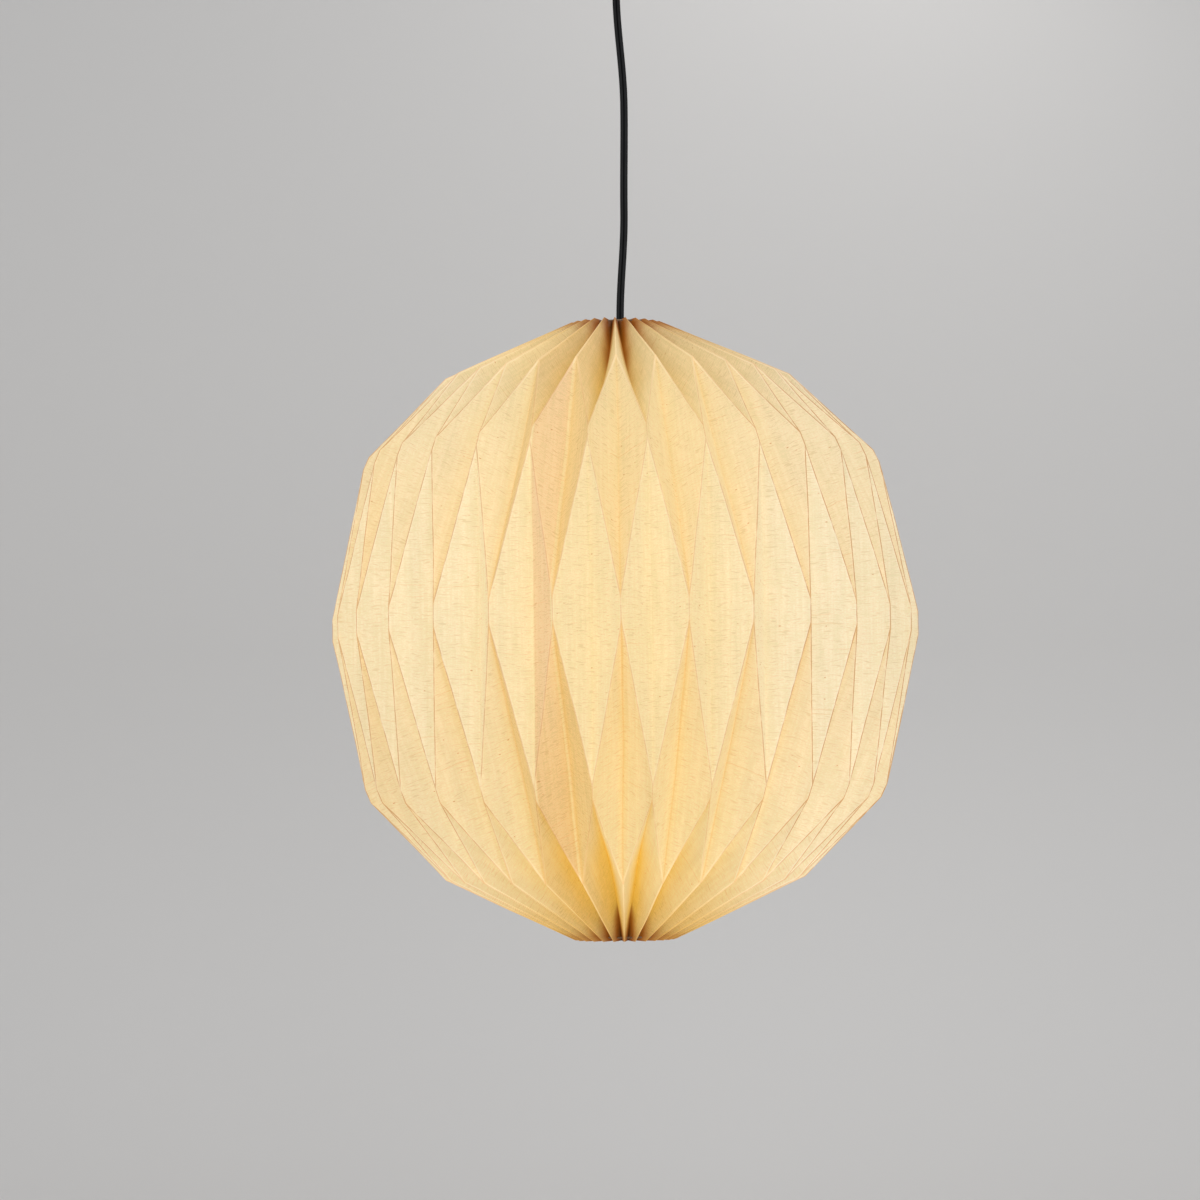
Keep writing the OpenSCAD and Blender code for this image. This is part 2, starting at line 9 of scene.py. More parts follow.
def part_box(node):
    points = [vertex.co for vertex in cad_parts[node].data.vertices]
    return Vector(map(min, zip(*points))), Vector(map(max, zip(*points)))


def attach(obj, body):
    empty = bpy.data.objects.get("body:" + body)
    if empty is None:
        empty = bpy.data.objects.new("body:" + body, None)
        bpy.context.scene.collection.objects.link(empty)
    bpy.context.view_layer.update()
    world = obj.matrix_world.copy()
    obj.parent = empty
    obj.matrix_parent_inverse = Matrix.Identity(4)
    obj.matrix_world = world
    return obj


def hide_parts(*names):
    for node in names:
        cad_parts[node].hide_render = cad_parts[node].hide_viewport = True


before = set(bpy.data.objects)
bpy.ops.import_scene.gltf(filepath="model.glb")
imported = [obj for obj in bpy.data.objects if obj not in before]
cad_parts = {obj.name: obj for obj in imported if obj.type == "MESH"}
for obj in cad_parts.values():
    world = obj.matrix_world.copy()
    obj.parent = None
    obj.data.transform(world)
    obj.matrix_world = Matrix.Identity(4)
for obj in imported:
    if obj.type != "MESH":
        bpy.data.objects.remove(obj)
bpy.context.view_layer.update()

# ---- sizes, in metres -------------------------------------------------------

def middle(node):
    low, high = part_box(node)
    return (low + high) / 2


GLOBE = Vector((0, 0, middle("shade").z))

PLEATS = 30
STRIP = 0.0325            # flat width between two neighbouring fold lines
EQUATOR_R = 0.220
WAIST_RIDGE = 0.0165      # the short ridge between two diamonds at the waist
SHOULDER_LEVEL = 0.1185   # flat heights above the middle of the sheet
SHOULDER_RIDGE = 0.0105
CROWN_LEVEL = 0.2055
EDGE_LEVEL = 0.3115
MOUTH_R = 0.0216
GATHER_EASE = 2.5
GATHER_STEPS = 6
PAPER = 0.0004
FOLD_RADIUS = 0.0005
FOLD_ANGLE = math.radians(8)
SHADE_TURN = math.radians(5.25)
LAP_MIDDLE = -18.5 * STRIP  # the glued lap's place in the flat sheet
LAP_HALF = 0.42 * STRIP
HALF_STEP = math.pi / PLEATS

bulb_low, bulb_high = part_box("bulb")
BULB_R = (bulb_high.x - bulb_low.x) / 2
BULB_GLOBE = Vector((0, 0, bulb_low.z + BULB_R))

CORD_W = 0.0058
CORD_T = 0.003
CORD_ROUTE = [(0, -0.346), (0, -0.322), (0.004, -0.235), (0.005, -0.155), (0, -0.062),
              (0, -0.0135)]

# ---- helpers ----------------------------------------------------------------


def new_piece(name, bm, materials, replaces=(), smooth=True):
    """The finished mesh as a piece that rides on the lamp."""
    mesh = bpy.data.meshes.new(name)
    bm.to_mesh(mesh)
    bm.free()
    for material in materials:
        mesh.materials.append(material)
    if smooth:
        mesh.shade_smooth()
    piece = bpy.data.objects.new(name, mesh)
    bpy.context.scene.collection.objects.link(piece)
    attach(piece, "root")
    if replaces:
        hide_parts(*replaces)
    return piece


def by_level(stops, level):
    """The value at a level, eased between (level, value) stops."""
    for (a, low), (b, high) in zip(stops, stops[1:]):
        if level <= b:
            t = max(0.0, (level - a) / (b - a))
            return low + (high - low) * t * t * (3 - 2 * t)
    return stops[-1][1]


# ---- camera -----------------------------------------------------------------

CAMERA_SIDE = -0.0008
CAMERA_BACK = 1.898
CAMERA_DROP = 0.1206
camera_data = bpy.data.cameras.new("camera")
camera_data.sensor_width = 36
camera_data.lens = 75.6
camera = bpy.data.objects.new("camera", camera_data)
bpy.context.scene.collection.objects.link(camera)
turn = Matrix.Rotation(0.009, 4, "Z") @ Matrix.Rotation(math.pi / 2 + 0.075, 4, "X")
camera.matrix_world = (
    Matrix.Translation((CAMERA_SIDE, -CAMERA_BACK, GLOBE.z - CAMERA_DROP))
    @ turn
    @ Matrix.Rotation(-0.012, 4, "Z")
)
bpy.context.scene.camera = camera

# ---- materials --------------------------------------------------------------


class Nodes:
    """Short calls that add shader nodes to one material."""

    def __init__(self, name):
        self.material = bpy.data.materials.new(name)
        self.material.use_nodes = True
        self.tree = self.material.node_tree
        self.shader = self.tree.nodes["Principled BSDF"]

    def add(self, kind):
        return self.tree.nodes.new("ShaderNode" + kind)

    def link(self, source, target):
        if isinstance(source, (int, float, tuple)):
            target.default_value = source
        else:
            self.tree.links.new(source, target)

    def maths(self, operation, a, b=0.0, c=0.0, clamp=False):
        node = self.add("Math")
        node.operation = operation
        node.use_clamp = clamp
        for value, socket in zip((a, b, c), node.inputs):
            self.link(value, socket)
        return node.outputs[0]

    def vector(self, operation, a, b=(0, 0, 0), scale=None, third=None):
        node = self.add("VectorMath")
        node.operation = operation
        self.link(a, node.inputs[0])
        if operation == "SCALE":
            self.link(scale, node.inputs["Scale"])
        else:
            self.link(b, node.inputs[1])
        if third is not None:
            self.link(third, node.inputs[2])
        return node.outputs["Value"] if operation in ("LENGTH", "DOT_PRODUCT") else node.outputs[0]

    def ramp(self, value, stops):
        node = self.add("ValToRGB")
        self.link(value, node.inputs[0])
        elements = node.color_ramp.elements
        while len(elements) < len(stops):
            elements.new(0.5)
        for element, (place, colour) in zip(elements, stops):
            element.position = place
            element.color = (*colour, 1)
        return node.outputs[0]

    def mix(self, factor, a, b, blend="MIX"):
        node = self.add("Mix")
        node.data_type = "RGBA"
        node.blend_type = blend
        self.link(factor, node.inputs["Factor"])
        for value, socket in ((a, node.inputs[6]), (b, node.inputs[7])):
            self.link((*value, 1) if isinstance(value, tuple) else value, socket)
        return node.outputs[2]

    def noise(self, place, scale, detail=2.0, roughness=0.5):
        node = self.add("TexNoise")
        self.link(place, node.inputs["Vector"])
        node.inputs["Scale"].default_value = scale
        node.inputs["Detail"].default_value = detail
        node.inputs["Roughness"].default_value = roughness
        return node.outputs["Fac"]

    def step(self, value, low, high, smooth=True):
        """0 below low and 1 above high."""
        node = self.add("MapRange")
        node.interpolation_type = "SMOOTHSTEP" if smooth else "LINEAR"
        self.link(value, node.inputs["Value"])
        node.inputs["From Min"].default_value = low
        node.inputs["From Max"].default_value = high
        return node.outputs[0]

    def bump(self, height, strength, distance, normal=None):
        node = self.add("Bump")
        self.link(height, node.inputs["Height"])
        node.inputs["Strength"].default_value = strength
        node.inputs["Distance"].default_value = distance
        if normal is not None:
            self.link(normal, node.inputs["Normal"])
        self.tree.links.new(node.outputs[0], self.shader.inputs["Normal"])

    def set(self, **values):
        for name, value in values.items():
            self.shader.inputs[name.replace("_", " ")].default_value = value


def plain_material(name, colour, roughness, grain=400, mottle=0.08, bump=0.2, shine=0.5):
    """A moulded or stamped surface with a slight mottle and an orange-peel bump."""
    n = Nodes(name)
    place = n.add("TexCoord").outputs["Object"]
    cloud = n.noise(place, grain / 8, 3)
    dark = tuple(c * (1 - mottle) for c in colour)
    light = tuple(min(1, c * (1 + mottle)) for c in colour)
    n.link(n.ramp(cloud, [(0.3, dark), (0.7, light)]), n.shader.inputs["Base Color"])
    n.set(Specular_IOR_Level=shine)
    low, high = roughness * 0.85, roughness * 1.15
    n.link(n.ramp(cloud, [(0.3, (low,) * 3), (0.7, (high,) * 3)]), n.shader.inputs["Roughness"])
    n.bump(n.noise(place, grain, 2), bump, 0.0002)
    return n.material


LIT_PALE = (0.732, 0.515, 0.213)    # light that comes straight through the paper
LIT_SIDE = (0.752, 0.588, 0.360)    # the same, where daylight from the windows joins it
LIT_WARM = (0.740, 0.375, 0.020)    # light that has bounced about inside a fold
LIT_DEEP = (0.700, 0.190, 0.010)    # deep in the gathered folds
LIT_LAP = (0.690, 0.400, 0.150)     # light through the two layers of the lap
LIT_LAP_LOW = (0.620, 0.335, 0.085)


def fold_distance(n, flat, start, end):
    """Distance in the flat sheet from a point to the crease between two points."""
    along = Vector((*end, 0)) - Vector((*start, 0))
    offset = n.vector("SUBTRACT", flat, (*start, 0))
    share = n.maths("DIVIDE", n.vector("DOT_PRODUCT", offset, tuple(along)), along.length_squared,
                    clamp=True)
    foot = n.vector("SCALE", tuple(along), scale=share)
    return n.vector("LENGTH", n.vector("SUBTRACT", offset, foot))


def nearest_fold(n, flat, creases):
    found = None
    for start, end in creases:
        distance = fold_distance(n, flat, start, end)
        found = distance if found is None else n.maths("MINIMUM", found, distance)
    return found


def paper_material():
    """Laminated paper with slub threads, flecks and scored folds, lit from behind."""
    n = Nodes("lit paper")
    sheet = n.add("UVMap")
    sheet.uv_map = "sheet"
    place = sheet.outputs[0]
    parts = n.add("SeparateXYZ")
    n.link(place, parts.inputs[0])
    along = parts.outputs[0]
    level = n.maths("ABSOLUTE", parts.outputs[1])
    flat = n.add("CombineXYZ")
    across = n.maths("PINGPONG", along, STRIP)
    n.link(across, flat.inputs[0])
    n.link(level, flat.inputs[1])
    flat = flat.outputs[0]

    crown = (0, CROWN_LEVEL)
    waist = (0, WAIST_RIDGE / 2)
    shoulder_low = (STRIP, SHOULDER_LEVEL)
    shoulder_top = (STRIP, SHOULDER_LEVEL + SHOULDER_RIDGE)
    mountains = [((0, EDGE_LEVEL), crown), (crown, shoulder_top), (shoulder_top, shoulder_low),
                 (shoulder_low, waist), (waist, (0, 0))]
    valleys = [(crown, waist), (shoulder_top, (STRIP, EDGE_LEVEL))]

    sides = n.add("SeparateXYZ")
    n.link(n.add("TexCoord").outputs["Object"], sides.inputs[0])
    wear = n.noise(place, 90, 3)
    ridge = n.maths("MULTIPLY_ADD", wear, -0.0006, nearest_fold(n, flat, mountains))
    score_and_edge_shade = n.maths("MULTIPLY", n.step(ridge, 0.0007, 0.0001), n.step(wear, 0.15, 0.55))
    pressed_fold_highlight = n.step(ridge, 0.0015, 0.0006)
    # Painted daylight: the globe's sides take the daylight colour, the right more than the left, and the gathered
    # top takes less of it.
    painted_side_light = n.step(n.maths("ABSOLUTE", sides.outputs[0]), 0.035, 0.145)
    painted_side_light = n.maths("MULTIPLY", painted_side_light, n.maths("MULTIPLY_ADD", n.step(sides.outputs[0], -0.02, 0.02), 0.3, 0.7))
    upper = n.step(parts.outputs[1], -0.02, 0.06)
    shut_in = n.maths("MULTIPLY", upper, n.step(level, 0.19, 0.24))
    painted_side_light = n.maths("MULTIPLY", painted_side_light, n.maths("MULTIPLY_ADD", shut_in, -0.7, 1.0))
    valley = nearest_fold(n, flat, valleys)
    valley_shade = n.step(valley, 0.0016, 0.0002)

    # The narrow dents that close up towards the waist, and the glued lap
    rise = (SHOULDER_LEVEL - waist[1]) / STRIP
    above = n.maths("SUBTRACT", n.maths("SUBTRACT", level, waist[1]), n.maths("MULTIPLY", across, rise))
    in_dent = n.maths("MULTIPLY", n.step(above, -0.0015, 0.003), n.step(level, 0.24, 0.02))
    lap = n.maths("ABSOLUTE", n.maths("SUBTRACT", along, LAP_MIDDLE))
    beside_lap = n.maths("ABSOLUTE", n.maths("SUBTRACT", lap, STRIP))
    lap = n.step(n.maths("MULTIPLY_ADD", n.noise(place, 160, 2), 0.0012, lap), LAP_HALF + 0.0012, LAP_HALF)
    beside_lap = n.maths("MULTIPLY", n.step(beside_lap, 0.51 * STRIP, 0.46 * STRIP), n.step(above, -0.0015, 0.003))

    # Threads lie across the sheet, some of them long, and a faint set stands upright
    waver = n.vector("SCALE", (0, 1, 0), scale=n.maths("MULTIPLY", n.noise(place, 28, 2), 0.008))
    wavy = n.vector("ADD", place, waver)
    threads = n.noise(n.vector("MULTIPLY", wavy, (115, 950, 1)), 1, 1)
    fine = n.noise(n.vector("MULTIPLY", place, (800, 1200, 1)), 1, 1)
    upright = n.noise(n.vector("MULTIPLY", place, (480, 22, 1)), 1, 1)
    cloud = n.noise(place, 22, 4, 0.6)
    weave = n.maths("MULTIPLY_ADD", fine, 0.30, n.maths("MULTIPLY_ADD", upright, 0.22,
                                                        n.maths("MULTIPLY", threads, 0.48)))
    long_thread = n.noise(n.vector("MULTIPLY", wavy, (9, 640, 1)), 1, 0)
    slub = n.maths("MULTIPLY", n.step(long_thread, 0.72, 0.80), n.step(n.noise(place, 40, 1), 0.45, 0.6))
    flecks = n.add("TexVoronoi")
    n.link(n.vector("MULTIPLY", place, (120, 260, 1)), flecks.inputs["Vector"])
    flecks.inputs["Scale"].default_value = 1
    fleck = n.maths("MULTIPLY", n.step(flecks.outputs["Distance"], 0.15, 0.07),
                    n.step(n.noise(place, 150, 2), 0.58, 0.64))

    tint = n.mix(n.step(weave, 0.60, 0.40), (1, 1, 1), (0.84, 0.875, 0.79))
    tint = n.mix(n.step(threads, 0.53, 0.67), tint, (0.80, 0.80, 0.71))
    tint = n.mix(n.maths("MULTIPLY", slub, 0.4), tint, (0.78, 0.60, 0.42))
    tint = n.mix(n.maths("MULTIPLY", fleck, 0.8), tint, (0.62, 0.42, 0.26))
    gathered = n.step(level, 0.15, 0.21)
    # Paler and cooler along the mountain folds, more so at the gathered ends: pressed paper, with a painted
    # highlight along the crease.
    tint = n.mix(n.maths("MULTIPLY", pressed_fold_highlight, n.maths("MULTIPLY_ADD", gathered, 0.6, 0.3)), tint,
                 (1.06, 1.10, 1.20))
    # Score lines are drawn darker at the globe's sides and fainter at the gathered ends: a real scored crease,
    # with painted shade where the folds are seen edge on.
    score_and_edge_shade = n.maths("MULTIPLY", score_and_edge_shade, n.maths("MULTIPLY_ADD", painted_side_light, 0.55,
                                               n.maths("MULTIPLY_ADD", gathered, -0.25, 0.38)))
    tint = n.mix(score_and_edge_shade, tint, (0.60, 0.42, 0.28))
    # Painted shade along the valley folds, fainter in the top half.
    tint = n.mix(n.maths("MULTIPLY", valley_shade, n.maths("MULTIPLY_ADD", upper, -0.22, 0.38)), tint,
                 (0.80, 0.66, 0.48))

    bright = n.add("Attribute")
    bright.attribute_name = "glow"
    warm = n.add("Attribute")
    warm.attribute_name = "warmth"
    # Painted shade: where the glow is low, deep in the gathered folds, the paper's own colour is taken down to
    # near black.
    closed = n.step(bright.outputs["Fac"], 0.72, 0.30)
    base = n.mix(closed, (0.43, 0.370, 0.295), (0.075, 0.022, 0.007))
    n.link(n.mix(1.0, base, tint, "MULTIPLY"), n.shader.inputs["Base Color"])
    bounced = n.maths("MULTIPLY", warm.outputs["Fac"], n.maths("MULTIPLY_ADD", painted_side_light, -0.75, 1.0))
    pleat = n.maths("FLOOR", n.maths("MULTIPLY_ADD", along, 0.5 / STRIP, 0.5))
    each = n.add("TexWhiteNoise")
    each.noise_dimensions = "1D"
    n.link(pleat, each.inputs["W"])
    share = n.maths("MULTIPLY_ADD", each.outputs["Value"], 0.26, 0.2)
    # Painted bounce light and shade: warmer in the dents, with a random share for each pleat, beside the lap and
    # along the valley folds.
    warmth = n.maths("MULTIPLY_ADD", beside_lap, 0.45, n.maths("MULTIPLY_ADD", in_dent, share, bounced))
    warmth = n.maths("MULTIPLY_ADD", n.step(valley, 0.007, 0.0),
                     n.maths("MULTIPLY_ADD", upper, -0.08, 0.14), warmth, clamp=True)
    lapped = n.mix(n.step(parts.outputs[1], -0.02, -0.16), LIT_LAP, LIT_LAP_LOW)
    colour = n.mix(lap, n.mix(painted_side_light, LIT_PALE, LIT_SIDE), lapped)
    colour = n.mix(warmth, colour, LIT_WARM)
    # Painted shade: the light in the deep gathered folds turns to the deep colour.
    colour = n.mix(closed, colour, LIT_DEEP)
    # The light's level varies in clouds; it is painted in upright streaks of shading where the paper bends, and
    # painted darker beside the lap.
    cloud_and_painted_shade = n.maths("MULTIPLY_ADD", n.maths("SUBTRACT", cloud, 0.5), 0.14, 0.90)
    drape = n.noise(n.vector("MULTIPLY", place, (85, 4, 1)), 1, 2, 0.4)
    cloud_and_painted_shade = n.maths("MULTIPLY_ADD", drape, 0.22, cloud_and_painted_shade)
    cloud_and_painted_shade = n.maths("MULTIPLY_ADD", beside_lap, -0.11, cloud_and_painted_shade)
    light = n.maths("MULTIPLY", bright.outputs["Fac"], cloud_and_painted_shade)
    n.link(n.mix(1.0, n.vector("SCALE", colour, scale=light), tint, "MULTIPLY"),
           n.shader.inputs["Emission Color"])
    n.set(Emission_Strength=1.0, Roughness=0.75, Specular_IOR_Level=0.12)

    # Light spreads inside the paper, so its facets look softer than hard ones would
    here = n.add("NewGeometry")
    outward = n.vector("NORMALIZE", n.vector("SUBTRACT", here.outputs["Position"], tuple(GLOBE)))
    outward = n.vector("FACEFORWARD", n.vector("SCALE", outward, scale=-1.0), here.outputs["Normal"],
                       third=outward)
    soft = n.vector("ADD", n.vector("SCALE", outward, scale=1.8), here.outputs["Normal"])
    n.bump(weave, 0.4, 0.0003, n.vector("NORMALIZE", soft))
    return n.material


def brushed_material(name, colour, roughness):
    """Bright metal with fine drawn lines and a little staining."""
    n = Nodes(name)
    place = n.add("TexCoord").outputs["Object"]
    lines = n.noise(n.vector("MULTIPLY", place, (2500, 300, 2500)), 1, 2)
    stain = n.noise(place, 60, 3)
    dark = tuple(c * 0.8 for c in colour)
    n.link(n.ramp(stain, [(0.35, dark), (0.6, colour)]), n.shader.inputs["Base Color"])
    low, high = roughness * 0.75, roughness * 1.3
    n.link(n.ramp(lines, [(0.3, (low,) * 3), (0.7, (high,) * 3)]), n.shader.inputs["Roughness"])
    n.set(Metallic=1.0)
    n.bump(lines, 0.25, 0.0001)
    return n.material


def elastic_material():
    """Round elastic in a woven cover, its threads winding round the cord. Its brown is darker than the cover's own
    pale colour: painted shade, as the ties sit in the shaded gathers.
    """
    n = Nodes("covered elastic in painted shade")
    place = n.add("TexCoord").outputs["Object"]
    threads = n.noise(n.vector("MULTIPLY", place, (1400, 1400, 2600)), 1, 2)
    n.link(n.ramp(threads, [(0.35, (0.16, 0.10, 0.055)), (0.65, (0.34, 0.24, 0.14))]),
           n.shader.inputs["Base Color"])
    n.set(Roughness=0.9, Sheen_Weight=0.3)
    n.bump(threads, 0.8, 0.0003)
    return n.material


def opal_glass_material():
    """Opal glass that glows, a little less towards the neck."""
    n = Nodes("lit opal glass")
    place = n.add("TexCoord").outputs["Object"]
    parts = n.add("SeparateXYZ")
    n.link(place, parts.inputs[0])
    swirl = n.noise(place, 40, 3)
    n.link(n.ramp(swirl, [(0.3, (0.78, 0.73, 0.62)), (0.7, (0.86, 0.81, 0.70))]),
           n.shader.inputs["Base Color"])
    down = n.step(parts.outputs[2], BULB_GLOBE.z + 0.045, BULB_GLOBE.z)
    down = n.maths("MULTIPLY", down, n.maths("MULTIPLY_ADD", swirl, 0.1, 0.95))
    n.link(n.ramp(down, [(0.0, (0.30, 0.14, 0.04)), (1.0, (0.92, 0.62, 0.30))]),
           n.shader.inputs["Emission Color"])
    n.set(Emission_Strength=1.0, Roughness=0.3, Coat_Weight=0.4, Coat_Roughness=0.1)
    n.bump(swirl, 0.1, 0.0002)
    return n.material


# ---- cord -------------------------------------------------------------------


def cord_centre(z):
    """The cord leaves each point of its route upright and eases across to the next."""
    for (x0, z0), (x1, z1) in zip(CORD_ROUTE, CORD_ROUTE[1:]):
        if z <= z1 + 1e-9:
            share = (1 - math.cos(math.pi * (z - z0) / (z1 - z0))) / 2
            return Vector((x0 + (x1 - x0) * share, 0, z))
    return Vector((CORD_ROUTE[-1][0], 0, z))


def make_cord(material):
    """Two round cores side by side, joined by a thin web."""
    bm = bmesh.new()
    low, high = CORD_ROUTE[0][1], CORD_ROUTE[-1][1]
    steps = 90
    core_x = (CORD_W - CORD_T) / 2
    web = math.acos(core_x / (CORD_T / 2))
    outline = []
    for side in (1, -1):
        for k in range(13):
            a = (math.pi - web) * (2 * k / 12 - 1)
            x = core_x + math.cos(a) * CORD_T / 2
            outline.append((side * x, side * math.sin(a) * CORD_T / 2))
    start = cord_centre(low)
    ring = [bm.verts.new(start + Vector((x, y, 0))) for x, y in outline]
    edges = [bm.edges.new((a, b)) for a, b in zip(ring, ring[1:] + ring[:1])]
    bm.faces.new(ring)
    path = [start]
    for i in range(1, steps + 1):
        centre = cord_centre(low + (high - low) * i / steps)
        grown = bmesh.ops.extrude_edge_only(bm, edges=edges)["geom"]
        moved = [v for v in grown if isinstance(v, bmesh.types.BMVert)]
        bmesh.ops.translate(bm, verts=moved, vec=centre - path[-1])
        edges = [e for e in grown if isinstance(e, bmesh.types.BMEdge)]
        path.append(centre)
    bmesh.ops.contextual_create(bm, geom=edges)
    bmesh.ops.recalc_face_normals(bm, faces=bm.faces)
    cord = new_piece("twin_cord", bm, [material], replaces=["cord"])
    return cord


cord_sheath = plain_material("black cord sheath", (0.0045, 0.0045, 0.005), 0.45, grain=900, shine=0.18)
make_cord(cord_sheath)

# ---- the folded shade -------------------------------------------------------


def fold_point(a, along, b, across, side):
    """A fold line's next point, as (radius, height), from its two flat distances."""
    centre = Vector((b.x * math.cos(HALF_STEP), b.y))
    reach_sq = across ** 2 - (b.x * math.sin(HALF_STEP)) ** 2
    gap = (centre - a).length
    ahead = (centre - a) / gap
    foot = (along ** 2 - reach_sq + gap ** 2) / (2 * gap)
    rise = math.sqrt(along ** 2 - foot ** 2)
    return a + foot * ahead + side * rise * Vector((-ahead.y, ahead.x))


def fold_lines():
    """Half of a ridge line and of a furrow line, from the edge down to the middle.

    Each point is (radius, height, flat height).
    """
    half = EQUATOR_R * math.sin(HALF_STEP)
    shoulder_r = EQUATOR_R * math.cos(HALF_STEP) - math.sqrt(STRIP ** 2 - half ** 2)
    waist = Vector((EQUATOR_R, WAIST_RIDGE / 2))
    low = Vector((shoulder_r, SHOULDER_LEVEL))
    crown_rise = CROWN_LEVEL - SHOULDER_LEVEL
    crown = fold_point(waist, CROWN_LEVEL - waist.y, low, math.hypot(STRIP, crown_rise), 1)
    top_level = SHOULDER_LEVEL + SHOULDER_RIDGE
    top = fold_point(low, SHOULDER_RIDGE, crown, math.hypot(STRIP, CROWN_LEVEL - top_level), -1)
    free_len = EDGE_LEVEL - top_level
    gather = EDGE_LEVEL - CROWN_LEVEL
    free_end = fold_point(top, free_len, crown, math.hypot(STRIP, gather), 1)
    rim = fold_point(crown, gather, free_end, STRIP, -1)
    foot = top.lerp(free_end, 1 - gather / free_len)
    lift = Vector((MOUTH_R, rim.y)) - free_end

    ridge, furrow = [], []
    for i in range(GATHER_STEPS, -1, -1):
        t = i / GATHER_STEPS
        level = CROWN_LEVEL + gather * t
        ridge.append((*crown.lerp(rim, t), level))
        furrow.append((*(foot.lerp(free_end, t) + lift * t ** GATHER_EASE), level))
    ridge += [(*waist, waist.y), (EQUATOR_R, 0, 0)]
    furrow += [(*top, top_level), (*low, SHOULDER_LEVEL), (low.x, 0, 0)]
    return ridge, furrow


def make_shade(material):
    """One half strip is folded, cut finer, mirrored and spun into the whole globe."""
    ridge, furrow = fold_lines()
    bm = bmesh.new()
    across = bm.verts.layers.float.new("across")
    level = bm.verts.layers.float.new("level")

    def line_verts(points, angle, share):
        made = []
        for radius, z, flat in points:
            v = bm.verts.new((radius * math.cos(angle), radius * math.sin(angle), z))
            v[across] = share
            v[level] = flat
            made.append(v)
        return made

    left = line_verts(ridge, 0, 0)
    right = line_verts(furrow, HALF_STEP, STRIP)
    g = GATHER_STEPS
    rungs = [(i + j, i) for i in range(g) for j in (0, 1)]
    rungs += [(g, g), (g, g + 1), (g, g + 2), (g + 1, g + 2), (g + 2, g + 2), (g + 2, g + 3)]
    for (a, b), (c, d) in zip(rungs, rungs[1:]):
        corner = left[c] if c > a else right[d]
        bm.faces.new((left[a], corner, right[b]))

    finest = 0.012
    while True:
        long_edges = [e for e in bm.edges if e.calc_length() > finest]
        if not long_edges:
            break
        bmesh.ops.subdivide_edges(bm, edges=long_edges, cuts=1, use_grid_fill=True)
    bmesh.ops.triangulate(bm, faces=bm.faces)

    for axis in "ZY":
        half = bm.verts[:] + bm.edges[:] + bm.faces[:]
        bmesh.ops.mirror(bm, geom=half, axis=axis, merge_dist=1e-6)
    pleat = bm.verts[:] + bm.edges[:] + bm.faces[:]
    bmesh.ops.spin(bm, geom=pleat, cent=(0, 0, 0), axis=(0, 0, 1), angle=2 * math.pi,
                   steps=PLEATS, use_duplicate=True, use_merge=False)
    bmesh.ops.delete(bm, geom=pleat[:sum(isinstance(part, bmesh.types.BMVert) for part in pleat)],
                     context="VERTS")
    bmesh.ops.remove_doubles(bm, verts=bm.verts, dist=2e-5)
    bmesh.ops.recalc_face_normals(bm, faces=bm.faces)

    folds = [e for e in bm.edges if e.is_manifold and e.calc_face_angle() > FOLD_ANGLE]
    bmesh.ops.bevel(bm, geom=folds, offset=FOLD_RADIUS, offset_type="OFFSET", segments=2, profile=0.5,
                    affect="EDGES", clamp_overlap=True, material=-1)
    lay_flat_map(bm, across, level)
    light_from_inside(bm, across, level)
    bmesh.ops.rotate(bm, verts=bm.verts, cent=(0, 0, 0), matrix=Matrix.Rotation(SHADE_TURN, 3, "Z"))
    settle(bm)
    bmesh.ops.translate(bm, verts=bm.verts, vec=GLOBE)
    shade = new_piece("folded_shade", bm, [material], replaces=["shade"], smooth=False)
    wall = shade.modifiers.new("paper", "SOLIDIFY")
    wall.thickness = PAPER
    wall.offset = -1
    wall.use_even_offset = False
    return shade


def lay_flat_map(bm, across, level):
    """Each corner's place in the flat sheet, so that threads and scores run on across the folds."""
    sheet = bm.loops.layers.uv.new("sheet")
    pleat_angle = 2 * HALF_STEP
    for face in bm.faces:
        centre = face.calc_center_median()
        angle = math.atan2(centre.y, centre.x)
        pleat = round(angle / pleat_angle)
        side = 1 if angle > pleat * pleat_angle else -1
        up = 1 if centre.z > 0 else -1
        for loop in face.loops:
            v = loop.vert
            loop[sheet].uv = (pleat * 2 * STRIP + side * v[across], up * v[level])


# How brightly the paper is lit at each flat level of the sheet. The lampholder shades
# the top, and the folds near the edges are too tight to let much light out.
TOP_LIGHT = [(0.0, 1.0), (0.12, 0.99), (0.17, 0.97), (0.2055, 0.93), (0.24, 0.89), (0.28, 0.78),
             (EDGE_LEVEL, 0.50)]
BOTTOM_LIGHT = [(0.0, 1.0), (0.06, 1.01), (0.12, 1.05), (0.17, 1.10), (0.2055, 1.12), (0.24, 1.07), (0.28, 0.93),
                (EDGE_LEVEL, 0.58)]
TOP_WARMTH = [(0.0, 0.0), (0.12, 0.0), (0.17, 0.05), (0.2055, 0.10), (0.24, 0.18), (0.28, 0.35),
              (EDGE_LEVEL, 0.7)]
BOTTOM_WARMTH = [(0.0, 0.0), (0.12, 0.03), (0.17, 0.07), (0.2055, 0.14), (0.24, 0.28), (0.28, 0.6),
                 (EDGE_LEVEL, 1.0)]
TOP_FURROW = [(0.14, 1), (0.2055, 0.85), (0.24, 0.73), (0.28, 0.48), (EDGE_LEVEL, 0.07)]
BOTTOM_FURROW = [(0.18, 1), (0.2055, 0.99), (0.273, 0.98), (0.292, 0.42), (EDGE_LEVEL, 0.05)]


